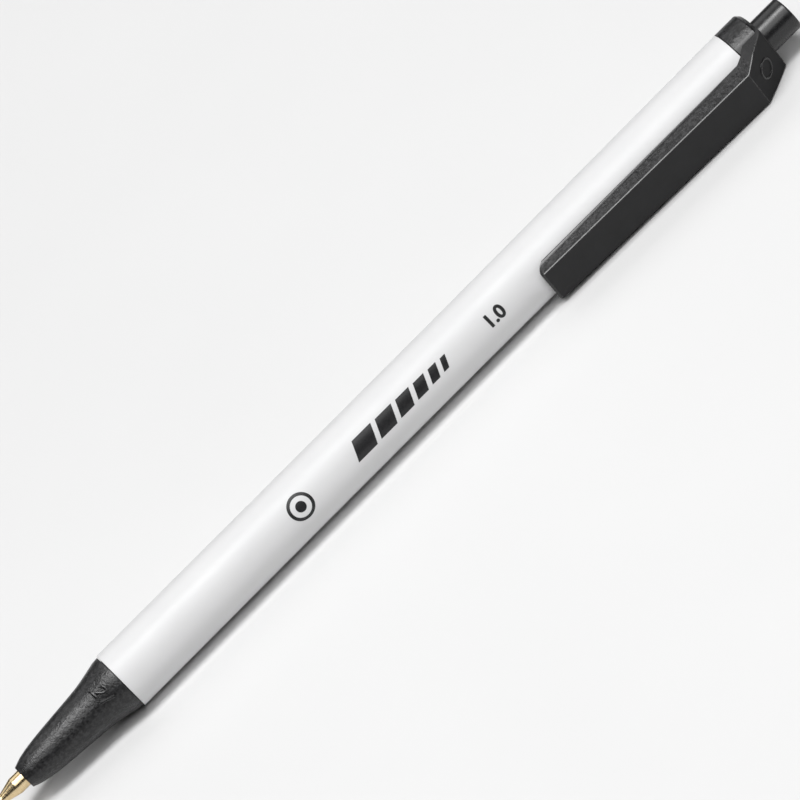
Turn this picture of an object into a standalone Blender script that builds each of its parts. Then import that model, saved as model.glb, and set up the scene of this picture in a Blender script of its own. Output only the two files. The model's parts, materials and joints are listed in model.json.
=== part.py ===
"""A slim retractable ballpoint pen, lying on its collar and clip root with the writing point out.

World axes: +X runs along the pen from the writing point to the push button, +Z is up, and the clip
points towards -Y, dipped by the angle at which the pen comes to rest. The origin is under the middle
of the pen's bounding box, on the surface that it lies on.

Every piece hangs from the empty "pen_axis". In that empty's own axes the pen's centre line is X and
the clip points along -Y. Distances along the pen are measured from the front of the writing ball.
"""

import math

import bmesh
import bpy
from mathutils import Vector

MM = 0.001

# Whole pen
PEN_LENGTH = 144.5 * MM
ROUND_SIDES = 48
SMALL_SIDES = 24
FIT_GAP = 0.10 * MM
WELD = 0.0001 * MM

# Places along the pen, from the front of the writing ball
NOSE_MOUTH = 4.78 * MM
SPRING_SHOULDER = 9.75 * MM
NOSE_SEAM = 22.21 * MM
NOSE_SPIGOT_END = 31.0 * MM
COLLAR_FRONT = 135.51 * MM
COLLAR_REAR = 139.55 * MM
CAP_SPIGOT_FRONT = 121.75 * MM
CAP_WALL_FRONT = 138.35 * MM

# Nose cone: distance behind its mouth, and radius, of the points that its outline runs through
NOSE_OUTLINE = [
    (0.00 * MM, 1.70 * MM),
    (1.50 * MM, 2.20 * MM),
    (3.83 * MM, 2.61 * MM),
    (7.45 * MM, 2.96 * MM),
    (12.45 * MM, 3.39 * MM),
    (14.45 * MM, 3.73 * MM),
    (16.25 * MM, 4.11 * MM),
    (17.05 * MM, 4.22 * MM),
    (17.43 * MM, 4.23 * MM),
]
NOSE_STEPS_PER_SPAN = 2
NOSE_BORE_RADIUS = 1.32 * MM
SPRING_BORE_RADIUS = 2.20 * MM
SPRING_BORE_END = 20.0 * MM
NOSE_SPIGOT_BORE_RADIUS = 2.80 * MM

# Barrel: it flares a little towards both ends
BARREL_FRONT_RADIUS = 4.43 * MM
BARREL_WAIST_RADIUS = 4.38 * MM
BARREL_REAR_RADIUS = 4.60 * MM
BARREL_WAIST_START = 55.0 * MM
BARREL_WAIST_END = 85.0 * MM
BARREL_BORE_RADIUS = 3.65 * MM
SPIGOT_RADIUS = 3.55 * MM

# Collar and the sleeve behind it, in which the click mechanism runs
COLLAR_RADIUS = 4.60 * MM
COLLAR_CHAMFER = 0.56 * MM
SLEEVE_BORE_RADIUS = 3.00 * MM
BUTTON_HOLE_RADIUS = 2.60 * MM
BLADE_COUNT = 4
RIB_FRONT = 122.25 * MM
RIB_REAR = 131.45 * MM
RIB_CREST = 2.30 * MM
RIB_FOOT = 3.30 * MM
RIB_HALF_WIDTH = 1.15 * MM
CAM_RISE = 0.60 * MM

# Clip: heights are measured from the pen's centre line to the flat outer face
CLIP_END = 97.10 * MM
CLIP_FLEX_LINE = 129.85 * MM
CLIP_FLEX_HEIGHT = 5.40 * MM
CLIP_FLEX_GAP = 0.12 * MM
CLIP_ROOF_END = 134.22 * MM
CLIP_END_HEIGHT = 5.15 * MM
CLIP_ROOT_HEIGHT = 6.25 * MM
CLIP_END_HALF_WIDTH = 2.785 * MM
CLIP_ROOT_HALF_WIDTH = 3.14 * MM
CLIP_FOOT_HALF_WIDTH = 3.20 * MM
CLIP_END_SLANT = 0.55
CLIP_INNER_RADIUS_FRONT = 4.60 * MM
CLIP_INNER_RADIUS_REAR = 4.72 * MM
CLIP_ARC_STEPS = 8

# Root block: the clip widens into the collar and slopes down to the collar's rear face
FLARE_END = 136.50 * MM
BLOCK_FOOT_HEIGHT = 2.00 * MM
BLOCK_FOOT_HALF_WIDTH = 3.98 * MM
BLOCK_TOP_HALF_WIDTH = 3.55 * MM
BLOCK_HOLLOW_RADIUS = 3.80 * MM
SLOPE_END_HEIGHT = 2.66 * MM
SLOPE_FALL = (CLIP_ROOT_HEIGHT - SLOPE_END_HEIGHT) / (COLLAR_REAR - CLIP_ROOF_END)
BLOCK_REAR_STEP = 0.02 * MM

# Push button, with the toothed plunger on its front end
BUTTON_RADIUS = 2.53 * MM
BUTTON_EDGE = 0.25 * MM
BUTTON_EDGE_MIDDLE = 0.075 * MM
BUTTON_DOME = 0.10 * MM
BUTTON_HEAD_FRONT = 132.85 * MM
PLUNGER_FRONT = 122.35 * MM
PLUNGER_RADIUS = 2.15 * MM
PLUNGER_BORE_RADIUS = 1.50 * MM
PLUNGER_BORE_END = 142.6 * MM
BLADE_FOOT = 2.00 * MM
BLADE_TIP = 2.90 * MM
BLADE_HALF_WIDTH = 0.60 * MM
PLUNGER_BLADE_FRONT = 123.45 * MM
PLUNGER_BLADE_REAR = 133.10 * MM
TOOTH_HEIGHT = 0.80 * MM
SIDES_PER_TOOTH = 6

# Rotor that indexes the click
ROTOR_FRONT = 110.15 * MM
ROTOR_REAR = 122.15 * MM
ROTOR_SOCKET_RADIUS = 1.65 * MM
ROTOR_SOCKET_END = 113.25 * MM
ROTOR_VENT_RADIUS = 0.60 * MM
ROTOR_RECESS_FRONT = 118.2 * MM
ROTOR_BLADE_FRONT = 118.65 * MM

# Refill
TUBE_RADIUS = 1.55 * MM
TUBE_BORE_RADIUS = 1.10 * MM
TUBE_FRONT = 30.15 * MM
TUBE_REAR = 113.05 * MM
INK_RADIUS = 1.04 * MM
INK_FRONT = 34.5 * MM
INK_REAR = 96.0 * MM
HOLDER_FRONT = 11.45 * MM
HOLDER_RADIUS = 1.50 * MM
HOLDER_BORE_RADIUS = 0.95 * MM
HOLDER_BORE_END = 16.4 * MM
HOLDER_CHANNEL_RADIUS = 0.50 * MM
FLANGE_FRONT = 29.25 * MM
FLANGE_REAR = 30.05 * MM
FLANGE_RADIUS = 2.05 * MM
HOLDER_SPIGOT_RADIUS = 1.00 * MM
HOLDER_REAR = 34.3 * MM

# Writing point: a brass cone on a shank, with a rim crimped over the ball in its seat
POINT_RIM_FRONT = 0.26 * MM
POINT_RIM_BORE_RADIUS = 0.475 * MM
POINT_RIM_RADIUS = 0.54 * MM
POINT_CRIMP_RADIUS = 0.60 * MM
POINT_CRIMP_END = 0.84 * MM
POINT_CRIMP_END_RADIUS = 0.63 * MM
POINT_CONE_END = 3.17 * MM
POINT_RADIUS = 1.25 * MM
POINT_SHANK_RADIUS = 0.90 * MM
POINT_REAR = 16.2 * MM
POINT_CHANNEL_FRONT = 1.12 * MM
POINT_CHANNEL_RADIUS = 0.30 * MM
POINT_SEAT_RADIUS = 0.535 * MM
POINT_SEAT_END = 0.85 * MM
POINT_SEAT_END_RADIUS = 0.50 * MM
BALL_RADIUS = 0.50 * MM
BALL_STEPS = 12

# Return spring, between the nose cone's shoulder and the refill's flange
SPRING_FRONT = SPRING_SHOULDER + FIT_GAP
SPRING_REAR = FLANGE_FRONT - FIT_GAP
SPRING_MEAN_RADIUS = 1.85 * MM
SPRING_WIRE_RADIUS = 0.18 * MM
SPRING_ACTIVE_TURNS = 9
SPRING_CLOSED_PITCH = 0.42 * MM
SPRING_POINTS_PER_TURN = 14


def slope_height(along):
    """Height of the sloped face over the centre line, at a distance along the pen."""
    return CLIP_ROOT_HEIGHT - SLOPE_FALL * (along - CLIP_ROOF_END)


def block_half_width(height):
    """Half width of the root block behind its flare, at a height over the centre line."""
    share = (height - BLOCK_FOOT_HEIGHT) / (CLIP_ROOT_HEIGHT - BLOCK_FOOT_HEIGHT)
    return BLOCK_FOOT_HALF_WIDTH + share * (BLOCK_TOP_HALF_WIDTH - BLOCK_FOOT_HALF_WIDTH)


def resting_angle():
    """How far the clip dips when the pen lies on its collar and on the flare's lower corner."""
    height = slope_height(FLARE_END)
    half_width = block_half_width(height)
    reach = math.hypot(height, half_width)
    return math.atan2(height, half_width) - math.acos(COLLAR_RADIUS / reach)


TIP_X = -PEN_LENGTH / 2
LIE_ANGLE = resting_angle()
CLIP_REACH_Y = CLIP_ROOT_HEIGHT * math.cos(LIE_ANGLE) + CLIP_ROOT_HALF_WIDTH * math.sin(LIE_ANGLE)
AXIS_Y = (CLIP_REACH_Y - COLLAR_RADIUS) / 2
AXIS_Z = COLLAR_RADIUS


def clear_scene():
    for item in list(bpy.data.objects):
        bpy.data.objects.remove(item, do_unlink=True)


def material(name, color, roughness, metallic=0.0):
    """A Principled BSDF material with one colour."""
    made = bpy.data.materials.new(name)
    made.use_nodes = True
    shader = made.node_tree.nodes["Principled BSDF"]
    shader.inputs["Base Color"].default_value = (*color, 1.0)
    shader.inputs["Roughness"].default_value = roughness
    shader.inputs["Metallic"].default_value = metallic
    made.diffuse_color = (*color, 1.0)
    return made


def place(name, data, parent, surface=None, origin=(0.0, 0.0, 0.0)):
    """An object whose origin is at a point of its parent's axes; its data is already about that point."""
    item = bpy.data.objects.new(name, data)
    bpy.context.collection.objects.link(item)
    item.parent = parent
    item.location = origin
    if surface:
        data.materials.append(surface)
    return item


def mesh_from(name, shape, smooth=True):
    """A mesh with its faces turned outwards, smooth except at sharp edges."""
    bmesh.ops.recalc_face_normals(shape, faces=shape.faces)
    mesh = bpy.data.meshes.new(name)
    shape.to_mesh(mesh)
    shape.free()
    if smooth:
        mesh.shade_smooth()
        mesh.set_sharp_from_angle(angle=math.radians(30))
    return mesh


def spun(outline, closed, sides):
    """Turn an outline of (distance along the pen, radius) pairs about the centre line.

    The first side starts straight down, so a round piece has a corner exactly at its lowest point.
    """
    shape = bmesh.new()
    down = Vector((0.0, -math.sin(LIE_ANGLE), -math.cos(LIE_ANGLE)))
    places = [Vector((TIP_X + along, 0.0, 0.0)) + radius * down for along, radius in outline]
    corners = [shape.verts.new(place) for place in places]
    edges = [shape.edges.new(pair) for pair in zip(corners, corners[1:])]
    if closed:
        edges.append(shape.edges.new((corners[-1], corners[0])))
    bmesh.ops.spin(
        shape,
        geom=corners + edges,
        axis=(1.0, 0.0, 0.0),
        cent=(0.0, 0.0, 0.0),
        angle=2 * math.pi,
        steps=sides,
        use_merge=True,
    )
    bmesh.ops.remove_doubles(shape, verts=shape.verts, dist=WELD)
    return shape


def turned(name, outline, parent, surface, closed=True, sides=ROUND_SIDES):
    return place(name, mesh_from(name, spun(outline, closed, sides)), parent, surface)


def smooth_outline(points, steps):
    """Points on a smooth curve through an outline's points, with steps to each span."""
    slopes = []
    for i in range(len(points)):
        before = points[max(i - 1, 0)]
        after = points[min(i + 1, len(points) - 1)]
        slopes.append((after[1] - before[1]) / (after[0] - before[0]))
    curve = []
    for (x0, r0), (x1, r1), m0, m1 in zip(points, points[1:], slopes, slopes[1:]):
        span = x1 - x0
        for k in range(steps):
            t = k / steps
            rise = r0 * (2 * t**3 - 3 * t**2 + 1) + r1 * (3 * t**2 - 2 * t**3)
            bend = span * (m0 * (t**3 - 2 * t**2 + t) + m1 * (t**3 - t**2))
            curve.append((x0 + t * span, rise + bend))
    curve.append(points[-1])
    return curve


def cut_teeth(shape, along, direction):
    """Cut V teeth in the ring of points at a distance along the pen, towards the given direction."""
    first_side = math.atan2(-math.cos(LIE_ANGLE), -math.sin(LIE_ANGLE))
    half = SIDES_PER_TOOTH / 2
    for corner in shape.verts:
        if abs(corner.co.x - (TIP_X + along)) < WELD:
            turn = math.atan2(corner.co.z, corner.co.y) - first_side
            side = round(turn / (2 * math.pi / ROUND_SIDES)) % SIDES_PER_TOOTH
            corner.co.x += direction * TOOTH_HEIGHT * abs(side - half) / half


def blades(name, front, rear, foot, tip, half_width, start_angle, front_rise, rear_rise, parent):
    """Blades spaced evenly round the centre line; a rise slants a blade's end from side to side."""
    shape = bmesh.new()
    for k in range(BLADE_COUNT):
        angle = start_angle + k * 2 * math.pi / BLADE_COUNT
        out = Vector((0.0, math.cos(angle), math.sin(angle)))
        across = Vector((0.0, -math.sin(angle), math.cos(angle)))
        rings = []
        for along, rise in ((front, front_rise), (rear, rear_rise)):
            ring = []
            for height, side in ((foot, -1), (tip, -1), (tip, 1), (foot, 1)):
                end = Vector((TIP_X + along + (rise if side > 0 else 0.0), 0.0, 0.0))
                ring.append(shape.verts.new(end + height * out + side * half_width * across))
            rings.append(ring)
        shape.faces.new(rings[0])
        shape.faces.new(rings[1])
        for i in range(4):
            j = (i + 1) % 4
            shape.faces.new((rings[0][i], rings[0][j], rings[1][j], rings[1][i]))
    return form(name, shape, parent)


def form(name, shape, parent):
    """A hidden form that another piece is joined to or cut by."""
    item = place(name, mesh_from(name, shape, smooth=False), parent)
    item.hide_render = True
    item.display_type = "WIRE"
    return item


def combine(item, other, operation):
    step = item.modifiers.new(other.name, "BOOLEAN")
    step.operation = operation
    step.solver = "EXACT"
    step.object = other


def lofted(sections):
    """A closed body through sections, each a list of points given in the same order."""
    shape = bmesh.new()
    rings = [[shape.verts.new(point) for point in section] for section in sections]
    shape.faces.new(rings[0])
    shape.faces.new(rings[-1])
    for ring, following in zip(rings, rings[1:]):
        for i in range(len(ring)):
            j = (i + 1) % len(ring)
            shape.faces.new((ring[i], ring[j], following[j], following[i]))
    return shape


def make_nose_cone(axis, plastic):
    points = [(NOSE_MOUTH + along, radius) for along, radius in NOSE_OUTLINE]
    outer = smooth_outline(points, NOSE_STEPS_PER_SPAN)
    inner = [
        (NOSE_SEAM, SPIGOT_RADIUS),
        (NOSE_SPIGOT_END, SPIGOT_RADIUS),
        (NOSE_SPIGOT_END, NOSE_SPIGOT_BORE_RADIUS),
        (SPRING_BORE_END, NOSE_SPIGOT_BORE_RADIUS),
        (SPRING_BORE_END, SPRING_BORE_RADIUS),
        (SPRING_SHOULDER, SPRING_BORE_RADIUS),
        (SPRING_SHOULDER, NOSE_BORE_RADIUS),
        (NOSE_MOUTH, NOSE_BORE_RADIUS),
    ]
    turned("nose_cone", outer + inner, axis, plastic)


def make_barrel(axis, plastic):
    front = NOSE_SEAM + FIT_GAP
    rear = COLLAR_FRONT - FIT_GAP
    outline = [
        (front, BARREL_FRONT_RADIUS),
        (BARREL_WAIST_START, BARREL_WAIST_RADIUS),
        (BARREL_WAIST_END, BARREL_WAIST_RADIUS),
        (rear, BARREL_REAR_RADIUS),
        (rear, BARREL_BORE_RADIUS),
        (front, BARREL_BORE_RADIUS),
    ]
    turned("barrel", outline, axis, plastic)


def clip_half_width(along):
    share = (along - CLIP_END) / (CLIP_ROOF_END - CLIP_END)
    return CLIP_END_HALF_WIDTH + share * (CLIP_ROOT_HALF_WIDTH - CLIP_END_HALF_WIDTH)


def clip_height(along):
    share = (along - CLIP_END) / (CLIP_ROOF_END - CLIP_END)
    return CLIP_END_HEIGHT + share * (CLIP_ROOT_HEIGHT - CLIP_END_HEIGHT)


def clip_section(along, inner_radius, slant):
    """One section of the clip: a flat outer face, drafted sides, and a hollow that follows the barrel."""
    top = clip_height(along)
    reach = math.asin(CLIP_FOOT_HALF_WIDTH / inner_radius)
    outline = [(top, clip_half_width(along)), (top, -clip_half_width(along))]
    for k in range(CLIP_ARC_STEPS + 1):
        angle = -reach + 2 * reach * k / CLIP_ARC_STEPS
        outline.append((inner_radius * math.cos(angle), inner_radius * math.sin(angle)))
    section = []
    for height, side in outline:
        section.append(Vector((TIP_X + along + slant * (top - height), -height, side)))
    return section


def make_clip_arm(axis, plastic):
    """The springy length of the clip, with its origin on the line that it flexes about."""
    pivot = Vector((TIP_X + CLIP_FLEX_LINE, -CLIP_FLEX_HEIGHT, 0.0))
    free_end = clip_section(CLIP_END, CLIP_INNER_RADIUS_FRONT, CLIP_END_SLANT)
    flex_end = clip_section(CLIP_FLEX_LINE - CLIP_FLEX_GAP / 2, CLIP_INNER_RADIUS_REAR, 0.0)
    shape = lofted([[point - pivot for point in section] for section in (free_end, flex_end)])
    place("clip_arm", mesh_from("clip_arm", shape), axis, plastic, origin=pivot)


def block_section(along, height, foot_half_width, top_half_width):
    corners = [
        (BLOCK_FOOT_HEIGHT, foot_half_width),
        (height, top_half_width),
        (height, -top_half_width),
        (BLOCK_FOOT_HEIGHT, -foot_half_width),
    ]
    return [Vector((TIP_X + along, -corner, side)) for corner, side in corners]


def make_root_block_form(axis):
    """The block between clip and collar, hollow over the barrel and inside the collar's wall."""
    start = CLIP_FLEX_LINE + CLIP_FLEX_GAP / 2
    rear = COLLAR_REAR - BLOCK_REAR_STEP
    sections = [
        block_section(start, clip_height(start), CLIP_FOOT_HALF_WIDTH, clip_half_width(start)),
        block_section(CLIP_ROOF_END, CLIP_ROOT_HEIGHT, CLIP_FOOT_HALF_WIDTH, CLIP_ROOT_HALF_WIDTH),
        block_section(FLARE_END, CLIP_ROOT_HEIGHT, BLOCK_FOOT_HALF_WIDTH, BLOCK_TOP_HALF_WIDTH),
        block_section(rear, CLIP_ROOT_HEIGHT, BLOCK_FOOT_HALF_WIDTH, BLOCK_TOP_HALF_WIDTH),
    ]
    block = form("root_block_form", lofted(sections), axis)
    overlap = BLOCK_REAR_STEP * 2
    clearance = [
        (CAP_SPIGOT_FRONT, 0.0),
        (CAP_SPIGOT_FRONT, CLIP_INNER_RADIUS_REAR),
        (COLLAR_FRONT + overlap, CLIP_INNER_RADIUS_REAR),
        (COLLAR_FRONT + overlap, BLOCK_HOLLOW_RADIUS),
        (PEN_LENGTH, BLOCK_HOLLOW_RADIUS),
        (PEN_LENGTH, 0.0),
    ]
    combine(block, form("block_hollow_form", spun(clearance, False, ROUND_SIDES), axis), "DIFFERENCE")
    return block


def make_slope_form(axis):
    """The wedge above the sloped face, from the roof's end back past the rear face."""
    beyond = COLLAR_REAR + COLLAR_RADIUS
    above = CLIP_ROOT_HEIGHT + COLLAR_RADIUS
    start = CLIP_ROOF_END - (above - CLIP_ROOT_HEIGHT) / SLOPE_FALL
    outline = [(start, above), (beyond, slope_height(beyond)), (beyond, above)]
    half = 2 * COLLAR_RADIUS
    sections = []
    for side in (-half, half):
        sections.append([Vector((TIP_X + along, -height, side)) for along, height in outline])
    return form("slope_form", lofted(sections), axis)


def make_clip_cap(axis, plastic):
    """The collar with its sleeve, guide ribs and the clip's root, all in one moulding."""
    outline = [
        (CAP_SPIGOT_FRONT, SLEEVE_BORE_RADIUS),
        (CAP_SPIGOT_FRONT, SPIGOT_RADIUS),
        (COLLAR_FRONT, SPIGOT_RADIUS),
        (COLLAR_FRONT, COLLAR_RADIUS),
        (COLLAR_REAR - COLLAR_CHAMFER, COLLAR_RADIUS),
        (COLLAR_REAR, COLLAR_RADIUS - COLLAR_CHAMFER),
        (COLLAR_REAR, BUTTON_HOLE_RADIUS),
        (CAP_WALL_FRONT, BUTTON_HOLE_RADIUS),
        (CAP_WALL_FRONT, SLEEVE_BORE_RADIUS),
    ]
    cap = turned("clip_cap", outline, axis, plastic)
    ribs = blades(
        "guide_rib_form",
        RIB_FRONT,
        RIB_REAR,
        RIB_CREST,
        RIB_FOOT,
        RIB_HALF_WIDTH,
        math.pi / BLADE_COUNT,
        CAM_RISE,
        0.0,
        axis,
    )
    combine(cap, ribs, "UNION")
    combine(cap, make_root_block_form(axis), "UNION")
    combine(cap, make_slope_form(axis), "DIFFERENCE")


def make_push_button(axis, plastic):
    """The button that shows behind the collar, and the plunger that it is one moulding with."""
    end = PEN_LENGTH
    outline = [
        (PLUNGER_FRONT, PLUNGER_BORE_RADIUS),
        (PLUNGER_FRONT, PLUNGER_RADIUS),
        (BUTTON_HEAD_FRONT, PLUNGER_RADIUS),
        (BUTTON_HEAD_FRONT, BUTTON_RADIUS),
        (end - BUTTON_DOME - BUTTON_EDGE, BUTTON_RADIUS),
        (end - BUTTON_DOME - BUTTON_EDGE_MIDDLE, BUTTON_RADIUS - BUTTON_EDGE_MIDDLE),
        (end - BUTTON_DOME, BUTTON_RADIUS - BUTTON_EDGE),
        (end, 0.0),
    ]
    hollow = [(PLUNGER_BORE_END, 0.0), (PLUNGER_BORE_END, PLUNGER_BORE_RADIUS)]
    shape = spun([*reversed(outline), *reversed(hollow)], False, ROUND_SIDES)
    cut_teeth(shape, PLUNGER_FRONT, 1)
    button = place("push_button", mesh_from("push_button", shape), axis, plastic)
    fins = blades(
        "plunger_blade_form",
        PLUNGER_BLADE_FRONT,
        PLUNGER_BLADE_REAR,
        BLADE_FOOT,
        BLADE_TIP,
        BLADE_HALF_WIDTH,
        0.0,
        0.0,
        0.0,
        axis,
    )
    combine(button, fins, "UNION")


def make_rotor(axis, plastic):
    """The turning cam that rides on the refill's rear end."""
    outline = [
        (ROTOR_FRONT, ROTOR_SOCKET_RADIUS),
        (ROTOR_FRONT, PLUNGER_RADIUS),
        (ROTOR_REAR, PLUNGER_RADIUS),
        (ROTOR_REAR, PLUNGER_BORE_RADIUS),
        (ROTOR_RECESS_FRONT, PLUNGER_BORE_RADIUS),
        (ROTOR_RECESS_FRONT, ROTOR_VENT_RADIUS),
        (ROTOR_SOCKET_END, ROTOR_VENT_RADIUS),
        (ROTOR_SOCKET_END, ROTOR_SOCKET_RADIUS),
    ]
    shape = spun(outline, True, ROUND_SIDES)
    cut_teeth(shape, ROTOR_REAR, -1)
    rotor = place("rotor", mesh_from("rotor", shape), axis, plastic)
    fins = blades(
        "rotor_blade_form",
        ROTOR_BLADE_FRONT,
        ROTOR_REAR - CAM_RISE,
        BLADE_FOOT,
        BLADE_TIP,
        BLADE_HALF_WIDTH,
        0.0,
        0.0,
        CAM_RISE,
        axis,
    )
    combine(rotor, fins, "UNION")


def make_refill(axis, materials):
    tube = [
        (TUBE_FRONT, TUBE_BORE_RADIUS),
        (TUBE_FRONT, TUBE_RADIUS),
        (TUBE_REAR, TUBE_RADIUS),
        (TUBE_REAR, TUBE_BORE_RADIUS),
    ]
    turned("refill_tube", tube, axis, materials["clear"], sides=SMALL_SIDES)
    ink = [(INK_FRONT, 0.0), (INK_FRONT, INK_RADIUS), (INK_REAR, INK_RADIUS), (INK_REAR, 0.0)]
    turned("ink_column", ink, axis, materials["ink"], closed=False, sides=SMALL_SIDES)
    holder = [
        (HOLDER_FRONT, HOLDER_BORE_RADIUS),
        (HOLDER_FRONT, HOLDER_RADIUS),
        (FLANGE_FRONT, HOLDER_RADIUS),
        (FLANGE_FRONT, FLANGE_RADIUS),
        (FLANGE_REAR, FLANGE_RADIUS),
        (FLANGE_REAR, HOLDER_SPIGOT_RADIUS),
        (HOLDER_REAR, HOLDER_SPIGOT_RADIUS),
        (HOLDER_REAR, HOLDER_CHANNEL_RADIUS),
        (HOLDER_BORE_END, HOLDER_CHANNEL_RADIUS),
        (HOLDER_BORE_END, HOLDER_BORE_RADIUS),
    ]
    turned("point_holder", holder, axis, materials["natural"], sides=SMALL_SIDES)


def make_point(axis, brass, carbide):
    """The brass socket with its crimped rim, and the ball that rolls in it."""
    shoulder = HOLDER_FRONT - FIT_GAP
    outline = [
        (POINT_RIM_FRONT, POINT_RIM_BORE_RADIUS),
        (POINT_RIM_FRONT, POINT_RIM_RADIUS),
        (BALL_RADIUS, POINT_CRIMP_RADIUS),
        (POINT_CRIMP_END, POINT_CRIMP_END_RADIUS),
        (POINT_CONE_END, POINT_RADIUS),
        (shoulder, POINT_RADIUS),
        (shoulder, POINT_SHANK_RADIUS),
        (POINT_REAR, POINT_SHANK_RADIUS),
        (POINT_REAR, POINT_CHANNEL_RADIUS),
        (POINT_CHANNEL_FRONT, POINT_CHANNEL_RADIUS),
        (POINT_SEAT_END, POINT_SEAT_END_RADIUS),
        (BALL_RADIUS, POINT_SEAT_RADIUS),
    ]
    turned("point_body", outline, axis, brass, sides=SMALL_SIDES)
    outline = [(0.0, 0.0)]
    for k in range(1, BALL_STEPS):
        angle = math.pi * k / BALL_STEPS
        outline.append((BALL_RADIUS * (1 - math.cos(angle)), BALL_RADIUS * math.sin(angle)))
    outline.append((2 * BALL_RADIUS, 0.0))
    centre = Vector((TIP_X + BALL_RADIUS, 0.0, 0.0))
    sphere = spun(outline, False, SMALL_SIDES)
    bmesh.ops.translate(sphere, verts=sphere.verts, vec=-centre)
    place("writing_ball", mesh_from("writing_ball", sphere), axis, carbide, origin=centre)


def make_return_spring(axis, steel):
    """A compression spring with one closed turn at each end."""
    front = TIP_X + SPRING_FRONT + SPRING_WIRE_RADIUS
    rear = TIP_X + SPRING_REAR - SPRING_WIRE_RADIUS
    turns = SPRING_ACTIVE_TURNS + 2
    count = turns * SPRING_POINTS_PER_TURN
    curve = bpy.data.curves.new("return_spring", "CURVE")
    curve.dimensions = "3D"
    curve.bevel_depth = SPRING_WIRE_RADIUS
    curve.bevel_resolution = 1
    curve.use_fill_caps = True
    wire = curve.splines.new("POLY")
    wire.points.add(count)
    for k, point in enumerate(wire.points):
        turn = k / SPRING_POINTS_PER_TURN
        active = min(max(turn - 1, 0.0), SPRING_ACTIVE_TURNS) / SPRING_ACTIVE_TURNS
        closed = min(turn, 1.0) + max(turn - 1 - SPRING_ACTIVE_TURNS, 0.0)
        x = front + closed * SPRING_CLOSED_PITCH + active * (rear - front - 2 * SPRING_CLOSED_PITCH)
        angle = 2 * math.pi * turn
        y = SPRING_MEAN_RADIUS * math.cos(angle)
        z = SPRING_MEAN_RADIUS * math.sin(angle)
        point.co = (x, y, z, 1.0)
    place("return_spring", curve, axis, steel)


def make_pen():
    clear_scene()
    axis = bpy.data.objects.new("pen_axis", None)
    bpy.context.collection.objects.link(axis)
    axis.location = (0.0, AXIS_Y, AXIS_Z)
    axis.rotation_euler = (LIE_ANGLE, 0.0, 0.0)
    black = material("black_plastic", (0.022, 0.022, 0.024), 0.42)
    white = material("white_plastic", (0.90, 0.90, 0.895), 0.22)
    brass = material("brass", (0.83, 0.62, 0.27), 0.22, metallic=1.0)
    steel = material("spring_steel", (0.62, 0.62, 0.63), 0.28, metallic=1.0)
    carbide = material("carbide", (0.36, 0.36, 0.37), 0.18, metallic=1.0)
    refill_materials = {
        "clear": material("clear_plastic", (0.88, 0.90, 0.90), 0.25),
        "ink": material("ink", (0.01, 0.01, 0.015), 0.30),
        "natural": material("natural_plastic", (0.80, 0.80, 0.77), 0.40),
    }
    make_barrel(axis, white)
    make_nose_cone(axis, black)
    make_clip_cap(axis, black)
    make_clip_arm(axis, black)
    make_push_button(axis, black)
    make_rotor(axis, refill_materials["natural"])
    make_refill(axis, refill_materials)
    make_point(axis, brass, carbide)
    make_return_spring(axis, steel)


make_pen()
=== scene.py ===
"""The looks of a slim retractable ballpoint pen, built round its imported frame.

Pieces are modelled in millimetres in the pen's own axes, and PEN puts them into the frame. There, X runs
along the centre line from the writing point to the push button, with 0 half way. "Height" is measured from
the centre line towards the clip, "side" is across the clip, and an angle round the pen is 0 at the clip and
grows upwards.
"""

import json
import math

import bmesh
import bpy
from mathutils import Matrix, Vector


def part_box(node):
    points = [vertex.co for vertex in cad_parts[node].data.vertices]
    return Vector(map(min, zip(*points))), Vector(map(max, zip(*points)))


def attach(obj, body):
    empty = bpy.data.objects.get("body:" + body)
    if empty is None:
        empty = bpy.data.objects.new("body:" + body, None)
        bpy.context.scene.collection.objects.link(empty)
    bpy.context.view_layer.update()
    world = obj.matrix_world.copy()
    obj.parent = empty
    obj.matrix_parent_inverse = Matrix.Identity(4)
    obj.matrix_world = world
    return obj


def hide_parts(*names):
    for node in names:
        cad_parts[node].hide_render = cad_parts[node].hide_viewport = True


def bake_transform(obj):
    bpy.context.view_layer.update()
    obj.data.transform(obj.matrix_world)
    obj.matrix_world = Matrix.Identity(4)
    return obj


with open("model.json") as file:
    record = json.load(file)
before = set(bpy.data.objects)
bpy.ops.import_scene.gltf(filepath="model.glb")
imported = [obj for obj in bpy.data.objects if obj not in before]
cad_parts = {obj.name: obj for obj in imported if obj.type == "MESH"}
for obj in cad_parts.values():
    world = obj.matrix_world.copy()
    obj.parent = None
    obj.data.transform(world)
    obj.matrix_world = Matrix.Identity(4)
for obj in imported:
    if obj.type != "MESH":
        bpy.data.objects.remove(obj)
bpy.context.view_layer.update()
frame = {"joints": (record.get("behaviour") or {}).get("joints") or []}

MM = 0.001
JOINTS = {joint["name"]: joint for joint in frame["joints"]}
CLIP_ACROSS = Vector(JOINTS["clip_flex"]["axis"])
CENTRE_LINE = Vector((0.0, *JOINTS["ball_roll"]["pos_m"][1:]))
LIE_ANGLE = math.atan2(-CLIP_ACROSS.y, CLIP_ACROSS.z)
PEN = Matrix.Translation(CENTRE_LINE) @ Matrix.Rotation(LIE_ANGLE, 4, "X") @ Matrix.Scale(MM, 4)


def span(node):
    """Where a CAD node starts and ends along the pen, in millimetres."""
    low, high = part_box(node)
    return low.x / MM, high.x / MM


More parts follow.
